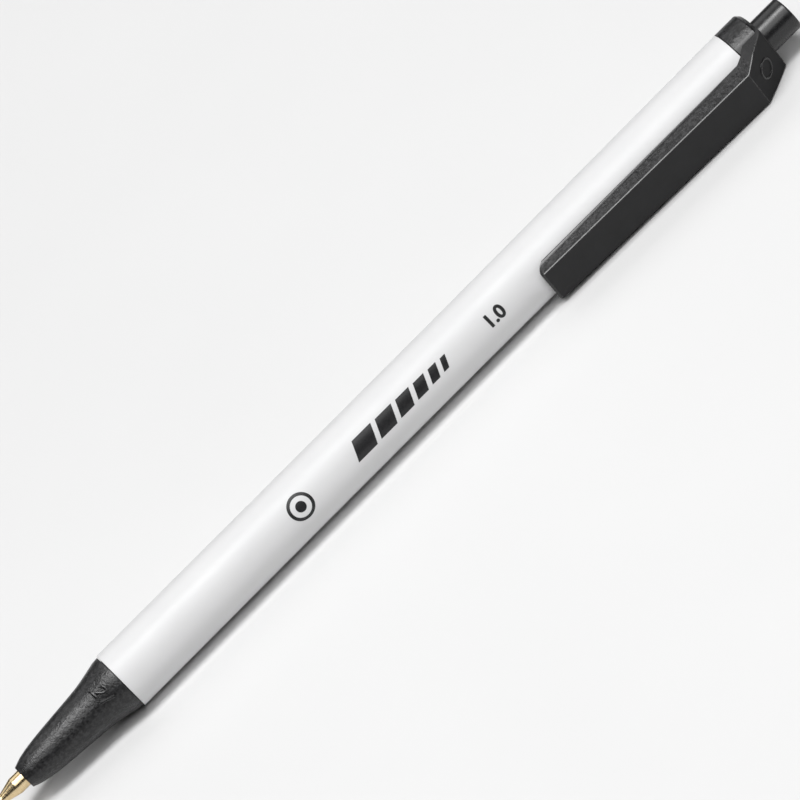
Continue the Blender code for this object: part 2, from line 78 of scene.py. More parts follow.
BALL_FRONT, BALL_REAR = span("writing_ball")
POINT_FRONT, POINT_REAR = span("point_body")
HOLDER_FRONT, HOLDER_REAR = span("point_holder")
TUBE_FRONT, TUBE_REAR = span("refill_tube")
INK_FRONT, INK_REAR = span("ink_column")
SPRING_FRONT, SPRING_REAR = span("return_spring")
ROTOR_FRONT, ROTOR_REAR = span("rotor")
PLUNGER_FRONT, BUTTON_REAR = span("push_button")
NOSE_MOUTH, NOSE_REAR = span("nose_cone")
BARREL_FRONT, BARREL_REAR = span("barrel")
SLEEVE_FRONT, COLLAR_REAR = span("clip_cap")
CLIP_END, CLIP_FLEX_END = span("clip_arm")

SEAM_GAP = 0.10
NOSE_SEAM = BARREL_FRONT - SEAM_GAP
COLLAR_FRONT = BARREL_REAR + SEAM_GAP

ROUND_SIDES = 144
SMALL_SIDES = 72
FILLET_STEPS = 8
SHARP_ANGLE = math.radians(20)

# Nose cone: distance behind its mouth, and radius, of the points that its outline runs through
NOSE_OUTLINE = [
    (0.00, 1.70),
    (1.50, 2.20),
    (3.83, 2.61),
    (7.45, 2.96),
    (12.45, 3.39),
    (14.45, 3.73),
    (16.25, 4.11),
    (17.05, 4.22),
    (17.43, 4.23),
]
NOSE_BORE = 1.32
SPRING_BORE = 2.20
SPRING_SHOULDER = SPRING_FRONT - 0.10
SPRING_BORE_END = NOSE_SEAM - 2.21
SPIGOT_BORE = 2.80

# Barrel
BARREL_FRONT_RADIUS = 4.43
BARREL_WAIST_RADIUS = 4.38
BARREL_REAR_RADIUS = 4.60
BARREL_WAIST_START = BARREL_FRONT + 32.7
BARREL_WAIST_END = BARREL_FRONT + 62.7
BARREL_BORE = 3.65
SPIGOT_RADIUS = 3.55

# Collar and sleeve
COLLAR_RADIUS = 4.60
COLLAR_CHAMFER = 0.56
COLLAR_CORE = 1.00
BORE_START = COLLAR_FRONT - 1.0
BUTTON_HOLE_RADIUS = 2.60
BUTTON_HOLE_CHAMFER = 0.06
REAR_WALL = 1.20
CUT_OVERRUN = 0.20
SLEEVE_BORE = 3.00
SLEEVE_REAR = COLLAR_FRONT + 1.2
SLEEVE_SEAT = 0.01
BLADE_COUNT = 4
RIB_CREST = 2.30
RIB_FOOT = 3.30
RIB_HALF_WIDTH = 1.15
RIB_FRONT = SLEEVE_FRONT + 0.5
RIB_REAR = RIB_FRONT + 9.2
CAM_RISE = 0.60

# Clip and its root block
ROOF_END = COLLAR_REAR - 5.33
FLARE_END = COLLAR_REAR - 3.05
FLEX_LINE = CLIP_FLEX_END + 0.06
BEND_END = FLEX_LINE - 5.6
CLIP_END_HEIGHT = 5.15
CLIP_ROOT_HEIGHT = 6.25
CLIP_END_HALF_WIDTH = 2.785
CLIP_ROOT_HALF_WIDTH = 3.14
CLIP_FOOT_HALF_WIDTH = 3.20
CLIP_END_UPRIGHT = 0.75
CLIP_END_SLANT = 0.12
CLIP_END_UNDERCUT = 0.95
CLIP_SLANT_FADE = 4.0
CLIP_HOLLOW_FRONT = 4.60
CLIP_HOLLOW_REAR = 4.72
BLOCK_FOOT_HEIGHT = 2.00
BLOCK_FOOT_HALF_WIDTH = 3.98
BLOCK_TOP_HALF_WIDTH = 3.55
SLOPE_END_HEIGHT = 2.66
SLOPE_FALL = (CLIP_ROOT_HEIGHT - SLOPE_END_HEIGHT) / (COLLAR_REAR - ROOF_END)
WEDGE_DEPTH = 0.02
ROOF_EDGE_DROP = 0.17
ROOF_EDGE_INSET = 0.07
ROOF_EDGE_FILLET = 0.06
FOOT_CHAMFER = 0.10
EDGE_STRIP = 0.34
EDGE_STRIP_LEAN = 0.10
REAR_FILLET = 0.12
CREASE_SOFTNESS = 0.07
ARM_STEPS = 16
BEND_STEPS = 18
UNDERSIDE_STEPS = 10

# The cap's finishes, in the order that make_cap is given them, and how far a face may be off a plane
TEXTURED, SMOOTH, POLISHED, COARSE, SATIN = range(5)
SAME_WAY = math.cos(math.radians(6))
OFF_SIDE = 0.05

# Push button, plunger and rotor
BUTTON_RADIUS = 2.53
BUTTON_EDGE = 0.30
BUTTON_DOME = 0.10
BUTTON_HEAD_FRONT = COLLAR_REAR - 6.70
PLUNGER_RADIUS = 2.15
PLUNGER_BORE = 1.50
PLUNGER_BORE_END = BUTTON_REAR - 1.9
BLADE_FOOT = 2.00
BLADE_TIP = 2.90
BLADE_HALF_WIDTH = 0.60
PLUNGER_BLADE_FRONT = PLUNGER_FRONT + 1.1
PLUNGER_BLADE_REAR = BUTTON_HEAD_FRONT + 0.25
ROTOR_BLADE_REAR = ROTOR_REAR - CAM_RISE
ROTOR_BLADE_FRONT = ROTOR_BLADE_REAR - 2.9
TEETH = 8
TOOTH_HEIGHT = 0.80
ROTOR_SOCKET = 1.65
ROTOR_SOCKET_END = ROTOR_FRONT + 3.1
ROTOR_VENT = 0.60
ROTOR_RECESS = ROTOR_REAR - 3.95

# Refill
TUBE_RADIUS = 1.55
TUBE_BORE = 1.10
INK_RADIUS = TUBE_BORE + 0.01  # the ink wets the tube's wall
MENISCUS = 0.50
HOLDER_RADIUS = 1.50
HOLDER_BORE = 0.95
HOLDER_BORE_END = HOLDER_FRONT + 4.95
HOLDER_CHANNEL = 0.50
FLANGE_FRONT = SPRING_REAR + 0.10
FLANGE_REAR = TUBE_FRONT - 0.10
FLANGE_RADIUS = 2.05
HOLDER_SPIGOT = 1.00
POINT_CONE_END = BALL_FRONT + 3.17
POINT_RADIUS = 1.25
POINT_SHANK = 0.90
POINT_CHANNEL = 0.30
BALL_RADIUS = (BALL_REAR - BALL_FRONT) / 2
BALL_MIDDLE = BALL_FRONT + BALL_RADIUS
RIM_BORE = 0.475
RIM_RADIUS = 0.54
CRIMP_RADIUS = 0.60
CRIMP_END = BALL_MIDDLE + 0.34
CRIMP_END_RADIUS = 0.63
SOCKET_BORE = 0.535
SOCKET_REAR = BALL_MIDDLE + 0.35
SOCKET_REAR_BORE = 0.50

# Spring
WIRE_RADIUS = 0.18
COIL_RADIUS = 1.85
ACTIVE_TURNS = 9
CLOSED_PITCH = 0.42
COIL_STEPS = 40

# Print on the barrel: angles round the pen, places along it and the sizes of the marks
CAMERA_ROUND = math.radians(45)
PRINT_ROUND = CAMERA_ROUND - math.radians(8)
PRINT_LIFT = 0.012
SLICE = 0.15
CIRCLE_MARK_X = -17.9
CIRCLE_MARK_RADII = (1.45, 1.90)
CIRCLE_MARK_DOT = 0.75
BARS_START = -8.0
BAR_COUNT = 6
BAR_GAP = 0.75
BAR_LENGTH = 3.4
BAR_SHORTENING = 0.5
BAR_HALF_HEIGHT = 1.35
BAR_NARROWING = 0.1
BAR_LEAN = 0.45
LINE_WIDTH_PLACE = (17.2, -0.3)
DIGIT_SHARE = 0.73  # a digit's height as a share of the font's size

# Number on the nose cone and ring on the sloped face
NUMBER_PLACE = NOSE_SEAM - 2.8
NUMBER_ROUND = CAMERA_ROUND + math.radians(6)
NUMERAL_LEAN = 0.35
RING_PLACE = COLLAR_REAR - 2.7
RING_RADIUS = 1.30
RING_THICKNESS = 0.17
RING_SIDES = 48
RING_TUBE_SIDES = 12

# Studio: distances in metres, the lens in millimetres. The camera is square to the pen near the nose seam
LIGHT_DISTANCE = 1.7
LENS = 342.7
CAMERA_DISTANCE = 0.98
CAMERA_X = -0.056
CAMERA_ELEVATION = CAMERA_ROUND - LIE_ANGLE
CAMERA_ROLL = math.radians(45.05)
AIM_X = 0.00103
AIM_RISE = 0.00007


# ---------------------------------------------------------------- materials


class Surface:
    """A Principled material, with the few node recipes that the pen's finishes are made of."""

    def __init__(self, name, **settings):
        self.material = bpy.data.materials.new(name)
        self.material.use_nodes = True
        self.tree = self.material.node_tree
        self.shader = self.tree.nodes["Principled BSDF"]
        for socket, value in settings.items():
            self.shader.inputs[socket.replace("_", " ").title().replace("Ior", "IOR")].default_value = value

    def add(self, kind, **settings):
        node = self.tree.nodes.new(kind)
        for name, value in settings.items():
            if name in node.inputs:
                node.inputs[name].default_value = value
            else:
                setattr(node, name, value)
        return node

    def join(self, source, target):
        self.tree.links.new(source, target)

    def millimetres(self, stretch=(1.0, 1.0, 1.0)):
        """The piece's own coordinates in millimetres; a stretch draws a pattern out along an axis."""
        place = self.add("ShaderNodeTexCoord")
        scaled = self.add("ShaderNodeMapping")
        scaled.inputs["Scale"].default_value = [1 / (MM * share) for share in stretch]
        self.join(place.outputs["Object"], scaled.inputs["Vector"])
        return scaled.outputs["Vector"]

    def noise(self, size, detail=3.0, rough=0.55, stretch=(1.0, 1.0, 1.0)):
        """Noise whose main features are about size millimetres across."""
        node = self.add("ShaderNodeTexNoise", Scale=1 / size, Detail=detail, Roughness=rough)
        self.join(self.millimetres(stretch), node.inputs["Vector"])
        return node.outputs["Fac"]

    def cells(self, size):
        node = self.add("ShaderNodeTexVoronoi", Scale=1 / size)
        self.join(self.millimetres(), node.inputs["Vector"])
        return node.outputs["Distance"]

    def colour(self, factor, dark, light, low=0.3, high=0.7):
        ramp = self.add("ShaderNodeValToRGB")
        ramp.color_ramp.elements[0].position = low
        ramp.color_ramp.elements[0].color = (*dark, 1.0)
        ramp.color_ramp.elements[1].position = high
        ramp.color_ramp.elements[1].color = (*light, 1.0)
        self.join(factor, ramp.inputs["Fac"])
        self.join(ramp.outputs["Color"], self.shader.inputs["Base Color"])

    def gloss(self, factor, smooth, rough, low=0.3, high=0.7):
        spread = self.add("ShaderNodeMapRange")
        for name, value in (("From Min", low), ("From Max", high), ("To Min", smooth), ("To Max", rough)):
            spread.inputs[name].default_value = value
        self.join(factor, spread.inputs["Value"])
        self.join(spread.outputs["Result"], self.shader.inputs["Roughness"])

    def relief(self, factor, depth, under=None):
        """A bump of depth millimetres over another bump, if one is given."""
        bump = self.add("ShaderNodeBump", Distance=depth * MM, Strength=1.0)
        self.join(factor, bump.inputs["Height"])
        if under:
            self.join(under, bump.inputs["Normal"])
        self.join(bump.outputs["Normal"], self.shader.inputs["Normal"])
        return bump.outputs["Normal"]


def glossy_white():
    """Polished white styrene: faint ripples from the mould and a very fine haze."""
    made = Surface("glossy_white_plastic", specular_ior_level=0.4, ior=1.5)
    made.colour(made.noise(6.0), (0.655, 0.655, 0.66), (0.675, 0.675, 0.678))
    made.gloss(made.noise(1.5, stretch=(6.0, 1.0, 1.0)), 0.40, 0.46)
    ripple = made.relief(made.noise(5.0, detail=1.0, stretch=(5.0, 1.0, 1.0)), 0.010)
    made.relief(made.noise(0.10, detail=2.0), 0.0006, ripple)
    return made.material


def textured_black():
    """Black polypropylene from a spark-eroded mould: a mottled, slightly grey grain."""
    made = Surface("textured_black_plastic", specular_ior_level=0.5, ior=1.5)
    made.colour(made.noise(0.45, detail=4.0), (0.002, 0.002, 0.0025), (0.022, 0.022, 0.023), 0.42, 0.64)
    made.gloss(made.noise(0.6), 0.27, 0.38)
    grain = made.relief(made.noise(0.55, detail=3.0, rough=0.7), 0.085)
    made.relief(made.cells(0.24), 0.020, grain)
    return made.material


def coarse_black():
    """The coarser grain on the flanks of the clip."""
    made = Surface("coarse_black_plastic", specular_ior_level=0.4, ior=1.5)
    made.colour(made.noise(0.45, detail=4.0), (0.003, 0.003, 0.0035), (0.030, 0.030, 0.031), 0.42, 0.62)
    made.gloss(made.noise(0.6), 0.32, 0.46)
    grain = made.relief(made.noise(0.60, detail=3.0, rough=0.7), 0.20)
    made.relief(made.cells(0.24), 0.04, grain)
    return made.material


def smooth_black(name, specular):
    """The same black where the mould was polished."""
    made = Surface(name, specular_ior_level=specular, ior=1.5)
    made.colour(made.noise(2.5), (0.007, 0.007, 0.0075), (0.010, 0.010, 0.011))
    made.gloss(made.noise(0.9), 0.30, 0.38)
    made.relief(made.noise(0.7, detail=2.0), 0.003)
    return made.material


def polished_black():
    """The glossiest black: the push button, the narrow worn edges of the clip and the raised marks."""
    made = Surface("polished_black_plastic", specular_ior_level=0.55, ior=1.5)
    made.colour(made.noise(1.8), (0.007, 0.007, 0.0075), (0.011, 0.011, 0.012))
    made.gloss(made.noise(0.8), 0.24, 0.32)
    made.relief(made.noise(0.5, detail=2.0), 0.003)
    return made.material


def natural_plastic():
    """Unpigmented moulding plastic, milky."""
    made = Surface(
        "natural_plastic", specular_ior_level=0.5, subsurface_weight=0.3, subsurface_scale=0.0008
    )
    made.colour(made.noise(1.5), (0.76, 0.76, 0.72), (0.83, 0.83, 0.80))
    made.gloss(made.noise(0.5), 0.34, 0.46)
    made.relief(made.noise(0.25), 0.003)
    return made.material


def clear_plastic():
    """The refill's translucent tube, with faint lines from its extrusion."""
    made = Surface("clear_plastic", transmission_weight=0.96, ior=1.49)
    lines = made.noise(0.25, stretch=(60.0, 1.0, 1.0))
    made.colour(lines, (0.90, 0.92, 0.92), (0.96, 0.97, 0.97))
    made.gloss(lines, 0.10, 0.22)
    made.relief(lines, 0.002)
    return made.material


def thick_ink():
    """Paste ink: nearly black, wet."""
    made = Surface("paste_ink", specular_ior_level=0.6)
    made.colour(made.noise(0.8), (0.004, 0.004, 0.007), (0.010, 0.010, 0.016))
    made.gloss(made.noise(0.4), 0.12, 0.25)
    return made.material


def printed_ink():
    """A thin film of black printing ink, a little thinner in places."""
    made = Surface("printed_ink", specular_ior_level=0.45)
    made.colour(made.noise(0.16, detail=5.0), (0.006, 0.006, 0.007), (0.020, 0.020, 0.021))
    made.gloss(made.noise(0.3), 0.28, 0.42)
    made.relief(made.noise(0.08), 0.002)
    return made.material


def turned_brass():
    """Brass from the lathe: fine rings round the pen and a slight change of tone."""
    made = Surface("turned_brass", metallic=1.0)
    made.colour(made.noise(0.6), (0.66, 0.50, 0.27), (0.80, 0.64, 0.40))
    rings = made.noise(0.05, detail=2.0, stretch=(1.0, 80.0, 80.0))
    made.gloss(rings, 0.18, 0.30)
    made.relief(rings, 0.0012)
    return made.material


def drawn_steel():
    """Spring wire with drawing marks."""
    made = Surface("drawn_steel", metallic=1.0)
    made.colour(made.noise(0.5), (0.50, 0.50, 0.51), (0.66, 0.66, 0.67))
    made.gloss(made.noise(0.12), 0.18, 0.34)
    made.relief(made.noise(0.06), 0.001)
    return made.material


def ground_carbide():
    """The writing ball, ground and wetted with ink."""
    made = Surface("ground_carbide", metallic=1.0)
    made.colour(made.noise(0.2), (0.16, 0.15, 0.16), (0.34, 0.33, 0.34))
    made.gloss(made.noise(0.1), 0.10, 0.20)
    made.relief(made.noise(0.05), 0.0005)
    return made.material


def studio_floor():
    made = Surface("studio_floor", roughness=0.8, specular_ior_level=0.1)
    made.colour(made.noise(90.0), (0.695, 0.695, 0.695), (0.715, 0.715, 0.715))
    return made.material


# ---------------------------------------------------------------- mesh tools


def rounded(corners, closed=True):
    """An outline with its corners rounded. Each corner is (x, radius) or (x, radius, fillet)."""
    outline = []
    count = len(corners)
    for i, (x, radius, *fillet) in enumerate(corners):
        ends = not closed and i in (0, count - 1)
        if ends or not fillet:
            outline.append((x, radius))
            continue
        corner = Vector((x, radius))
        before = Vector(corners[i - 1][:2]) - corner
        after = Vector(corners[(i + 1) % count][:2]) - corner
        opening = before.angle(after)
        reach = min(fillet[0] / math.tan(opening / 2), 0.49 * before.length, 0.49 * after.length)
        start = corner + before.normalized() * reach
        end = corner + after.normalized() * reach
        for k in range(FILLET_STEPS + 1):
            t = k / FILLET_STEPS
            outline.append(tuple((1 - t) ** 2 * start + 2 * t * (1 - t) * corner + t**2 * end))
    return outline


def lathe(outline, closed=True, sides=ROUND_SIDES):
    """An outline of (x, radius) turned about the centre line; an open one starts and ends on it."""
    shape = bmesh.new()
    rings = []
    for x, radius in outline:
        turns = [2 * math.pi * k / sides for k in range(sides)] if radius > 0 else [0.0]
        rings.append([shape.verts.new((x, radius * math.cos(a), radius * math.sin(a))) for a in turns])
    for ring, following in zip(rings, rings[1:] + rings[:1] if closed else rings[1:]):
        for k in range(sides):
            j = (k + 1) % sides
            corners = [ring[k % len(ring)], ring[j % len(ring)]]
            corners += [following[j % len(following)], following[k % len(following)]]
            shape.faces.new(dict.fromkeys(corners))
    bmesh.ops.recalc_face_normals(shape, faces=shape.faces)
    return shape


def loft(rings):
    """A closed body through rings of points, with a flat face on each end."""
    shape = bmesh.new()
    loops = [[shape.verts.new(point) for point in ring] for ring in rings]
    for loop, following in zip(loops, loops[1:]):
        for i in range(len(loop)):
            j = (i + 1) % len(loop)
            shape.faces.new((loop[i], loop[j], following[j], following[i]))
    shape.faces.new(loops[0])
    shape.faces.new(loops[-1])
    bmesh.ops.recalc_face_normals(shape, faces=shape.faces)
    return shape


def boxes_round(front, rear, foot, tip, half_width, start, front_rise=0.0, rear_rise=0.0):
    """Bars spaced evenly round the centre line, as one shape; a rise slants a bar's end."""
    shape = bmesh.new()
    for k in range(BLADE_COUNT):
        angle = start + k * 2 * math.pi / BLADE_COUNT
        out = Vector((0.0, -math.cos(angle), math.sin(angle)))
        across = Vector((0.0, math.sin(angle), math.cos(angle)))
        loops = []
        for x, rise in ((front, front_rise), (rear, rear_rise)):
            loop = []
            for height, side in ((foot, -1), (tip, -1), (tip, 1), (foot, 1)):
                along = Vector((x + (rise if side > 0 else 0.0), 0.0, 0.0))
                loop.append(shape.verts.new(along + height * out + side * half_width * across))
            loops.append(loop)
        shape.faces.new(loops[0])
        shape.faces.new(loops[1])
        for i in range(4):
            j = (i + 1) % 4
            shape.faces.new((loops[0][i], loops[0][j], loops[1][j], loops[1][i]))
    bmesh.ops.recalc_face_normals(shape, faces=shape.faces)
    return shape


def mesh_of(shape):
    mesh = bpy.data.meshes.new("shape")
    shape.to_mesh(mesh)
    shape.free()
    return mesh


def combined(shape, *steps):
    """A shape after Boolean steps, each an operation and another shape."""
    item = bpy.data.objects.new("combined", mesh_of(shape))
    bpy.context.scene.collection.objects.link(item)
    tools = []
    for operation, other in steps:
        tool = bpy.data.objects.new("tool", mesh_of(other))
        bpy.context.scene.collection.objects.link(tool)
        step = item.modifiers.new(operation, "BOOLEAN")
        step.operation = operation
        step.solver = "EXACT"
        step.object = tool
        tools.append(tool)
    evaluated = item.evaluated_get(bpy.context.evaluated_depsgraph_get())
    result = bmesh.new()
    result.from_mesh(evaluated.to_mesh())
    evaluated.to_mesh_clear()
    for tool in [item, *tools]:
        mesh = tool.data
        bpy.data.objects.remove(tool)
        bpy.data.meshes.remove(mesh)
    return result


def piece(name, shape, *surfaces):
    """A shown piece of the pen, from a shape in the pen's own axes."""
    shape.transform(PEN)
    mesh = mesh_of(shape)
    mesh.name = name
    for surface in surfaces:
        mesh.materials.append(surface)
    mesh.shade_smooth()
    mesh.set_sharp_from_angle(angle=SHARP_ANGLE)
    item = bpy.data.objects.new(name, mesh)
    bpy.context.scene.collection.objects.link(item)
    normals = item.modifiers.new("flat_faces_stay_flat", "WEIGHTED_NORMAL")
    normals.keep_sharp = True
    return item


def cut_teeth(shape, x, inner, outer, direction):
    """Cut V teeth in the end face of a turned shape, towards the given direction."""
    for corner in shape.verts:
        radius = math.hypot(corner.co.y, corner.co.z)
        if abs(corner.co.x - x) < 1e-4 and inner - 1e-3 < radius < outer + 1e-3:
            turn = math.atan2(corner.co.z, corner.co.y) * TEETH / (2 * math.pi)
            corner.co.x += direction * TOOTH_HEIGHT * abs(2 * (turn % 1.0) - 1)


def point_round(x, radius, angle):
    """A point at an angle round the pen: 0 is at the clip, and it grows upwards."""
    return Vector((x, -radius * math.cos(angle), radius * math.sin(angle)))


# ---------------------------------------------------------------- nose, barrel, refill


def smooth_curve(points, steps):
    """A smooth curve through an outline's points, with steps to each span."""
    slopes = []
    for i in range(len(points)):
        before = points[max(i - 1, 0)]
        after = points[min(i + 1, len(points) - 1)]
        slopes.append((after[1] - before[1]) / (after[0] - before[0]))
    curve = []
    for (x0, r0), (x1, r1), m0, m1 in zip(points, points[1:], slopes, slopes[1:]):
        length = x1 - x0
        for k in range(steps):
            t = k / steps
            rise = r0 * (2 * t**3 - 3 * t**2 + 1) + r1 * (3 * t**2 - 2 * t**3)
            bend = length * (m0 * (t**3 - 2 * t**2 + t) + m1 * (t**3 - t**2))
            curve.append((x0 + t * length, rise + bend))
    curve.append(points[-1])
    return curve


NOSE_CURVE = smooth_curve([(NOSE_MOUTH + along, radius) for along, radius in NOSE_OUTLINE], steps=8)


def nose_radius(x):
    for (x0, r0), (x1, r1) in zip(NOSE_CURVE, NOSE_CURVE[1:]):
        if x <= x1:
            return r0 + (r1 - r0) * (x - x0) / (x1 - x0)
    return NOSE_CURVE[-1][1]


def make_nose(black):
    mouth = (NOSE_CURVE[0][0], NOSE_CURVE[0][1], 0.10)
    outer = [mouth, *NOSE_CURVE[1:-1], (*NOSE_CURVE[-1], 0.05)]
    inner = [
        (NOSE_SEAM, SPIGOT_RADIUS),
        (NOSE_REAR, SPIGOT_RADIUS, 0.15),
        (NOSE_REAR, SPIGOT_BORE, 0.10),
        (SPRING_BORE_END, SPIGOT_BORE),
        (SPRING_BORE_END, SPRING_BORE),
        (SPRING_SHOULDER, SPRING_BORE),
        (SPRING_SHOULDER, NOSE_BORE),
        (NOSE_MOUTH, NOSE_BORE, 0.06),
    ]
    nose = piece("nose_cone_moulding", lathe(rounded(outer + inner)), black)
    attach(nose, "barrel")
    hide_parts("nose_cone")


def barrel_radius(x):
    if x < BARREL_WAIST_START:
        share = (BARREL_WAIST_START - x) / (BARREL_WAIST_START - BARREL_FRONT)
        return BARREL_WAIST_RADIUS + share * (BARREL_FRONT_RADIUS - BARREL_WAIST_RADIUS)
    share = max(x - BARREL_WAIST_END, 0.0) / (BARREL_REAR - BARREL_WAIST_END)
    return BARREL_WAIST_RADIUS + share * (BARREL_REAR_RADIUS - BARREL_WAIST_RADIUS)


def make_barrel(white):
    bends = [BARREL_WAIST_START, BARREL_WAIST_END]
    outline = [
        (BARREL_FRONT, BARREL_FRONT_RADIUS, 0.10),
        *[(x, barrel_radius(x), 2.0) for x in bends],
        (BARREL_REAR, BARREL_REAR_RADIUS, 0.08),
        (BARREL_REAR, BARREL_BORE),
        (BARREL_FRONT, BARREL_BORE),
    ]
    barrel = piece("barrel_tube", lathe(rounded(outline)), white)
    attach(barrel, "barrel")
    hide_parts("barrel")


def make_refill_tube(clear):
    outline = [
        (TUBE_FRONT, TUBE_BORE, 0.06),
        (TUBE_FRONT, TUBE_RADIUS, 0.06),
        (TUBE_REAR, TUBE_RADIUS, 0.06),
        (TUBE_REAR, TUBE_BORE, 0.06),
    ]
    tube = piece("refill_tubing", lathe(rounded(outline), sides=SMALL_SIDES), clear)
    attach(tube, "refill")
    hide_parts("refill_tube")


def make_ink(ink):
    """The ink, with a hollow in its rear end where it meets the air."""
    outline = [
        (INK_FRONT, 0.0),
        (INK_FRONT, INK_RADIUS, 0.02),
        (INK_REAR, INK_RADIUS, 0.02),
        (INK_REAR - 0.8 * MENISCUS, INK_RADIUS * 0.45),
        (INK_REAR - MENISCUS, 0.0),
    ]
    shape = lathe(rounded(outline, closed=False), closed=False, sides=SMALL_SIDES)
    column = piece("ink_fill", shape, ink)
    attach(column, "refill")
    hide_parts("ink_column")


def make_holder(natural):
    """The point holder, plugged into the tube; the spring bears on its flange."""
    outline = [
        (HOLDER_FRONT, HOLDER_BORE, 0.05),
        (HOLDER_FRONT, HOLDER_RADIUS, 0.12),
        (FLANGE_FRONT, HOLDER_RADIUS),
        (FLANGE_FRONT, FLANGE_RADIUS, 0.08),
        (FLANGE_REAR, FLANGE_RADIUS, 0.08),
        (FLANGE_REAR, HOLDER_SPIGOT),
        (HOLDER_REAR, HOLDER_SPIGOT, 0.20),
        (HOLDER_REAR, HOLDER_CHANNEL),
        (HOLDER_BORE_END, HOLDER_CHANNEL),
        (HOLDER_BORE_END, HOLDER_BORE),
    ]
    holder = piece("point_holder_moulding", lathe(rounded(outline), sides=SMALL_SIDES), natural)
    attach(holder, "refill")
    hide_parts("point_holder")


def make_point(brass):
    """The turned brass point, its rim crimped over the ball."""
    rear = HOLDER_FRONT - SEAM_GAP
    outline = [
        (POINT_FRONT, RIM_BORE),
        (POINT_FRONT, RIM_RADIUS, 0.02),
        (BALL_MIDDLE, CRIMP_RADIUS, 0.06),
        (CRIMP_END, CRIMP_END_RADIUS, 0.08),
        (POINT_CONE_END - 0.03, POINT_RADIUS - 0.02, 0.03),
        (POINT_CONE_END + 0.05, POINT_RADIUS, 0.03),
        (rear, POINT_RADIUS, 0.08),
        (rear, POINT_SHANK),
        (POINT_REAR, POINT_SHANK, 0.10),
        (POINT_REAR, POINT_CHANNEL),
        (BALL_MIDDLE + 0.62, POINT_CHANNEL),
        (SOCKET_REAR, SOCKET_REAR_BORE),
        (BALL_MIDDLE, SOCKET_BORE),
    ]
    socket = piece("brass_point", lathe(rounded(outline), sides=SMALL_SIDES), brass)
    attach(socket, "refill")
    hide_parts("point_body")


def make_ball(carbide):
    steps = SMALL_SIDES // 2
    angles = [math.pi * k / steps for k in range(1, steps)]
    ring = [(BALL_MIDDLE - BALL_RADIUS * math.cos(a), BALL_RADIUS * math.sin(a)) for a in angles]
    outline = [(BALL_FRONT, 0.0), *ring, (BALL_REAR, 0.0)]
    ball = piece("carbide_ball", lathe(outline, closed=False, sides=SMALL_SIDES), carbide)
    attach(ball, "ball")
    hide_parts("writing_ball")


def make_spring(steel):
    """The return spring: a helix with a closed turn at each end."""
    front = SPRING_FRONT + WIRE_RADIUS
    rear = SPRING_REAR - WIRE_RADIUS
    curve = bpy.data.curves.new("coil", "CURVE")
    curve.dimensions = "3D"
    curve.bevel_depth = WIRE_RADIUS
    curve.bevel_resolution = 4
    curve.use_fill_caps = True
    wire = curve.splines.new("POLY")
    wire.points.add((ACTIVE_TURNS + 2) * COIL_STEPS)
    for k, point in enumerate(wire.points):
        turn = k / COIL_STEPS
        active = min(max(turn - 1, 0.0), ACTIVE_TURNS) / ACTIVE_TURNS
        closed = min(turn, 1.0) + max(turn - 1 - ACTIVE_TURNS, 0.0)
        x = front + closed * CLOSED_PITCH + active * (rear - front - 2 * CLOSED_PITCH)
        angle = 2 * math.pi * turn
        point.co = (x, COIL_RADIUS * math.cos(angle), COIL_RADIUS * math.sin(angle), 1.0)
    coil = bpy.data.objects.new("coil", curve)
    bpy.context.scene.collection.objects.link(coil)
    evaluated = coil.evaluated_get(bpy.context.evaluated_depsgraph_get())
    shape = bmesh.new()
    shape.from_mesh(evaluated.to_mesh())
    bpy.data.objects.remove(coil)
    bmesh.ops.remove_doubles(shape, verts=shape.verts, dist=1e-5)
    bmesh.ops.recalc_face_normals(shape, faces=shape.faces)
    spring = piece("coil_spring", shape, steel)
    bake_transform(spring)
    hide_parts("return_spring")


# ---------------------------------------------------------------- clip, collar, button


def soft_least(a, b, softness):
    """The lesser of two heights, with the crease between them rounded."""
    return (a + b - math.hypot(a - b, softness)) / 2


def share_between(x, low, high):
    return min(max((x - low) / (high - low), 0.0), 1.0)


def mixed(low, high, share):
    return low + share * (high - low)


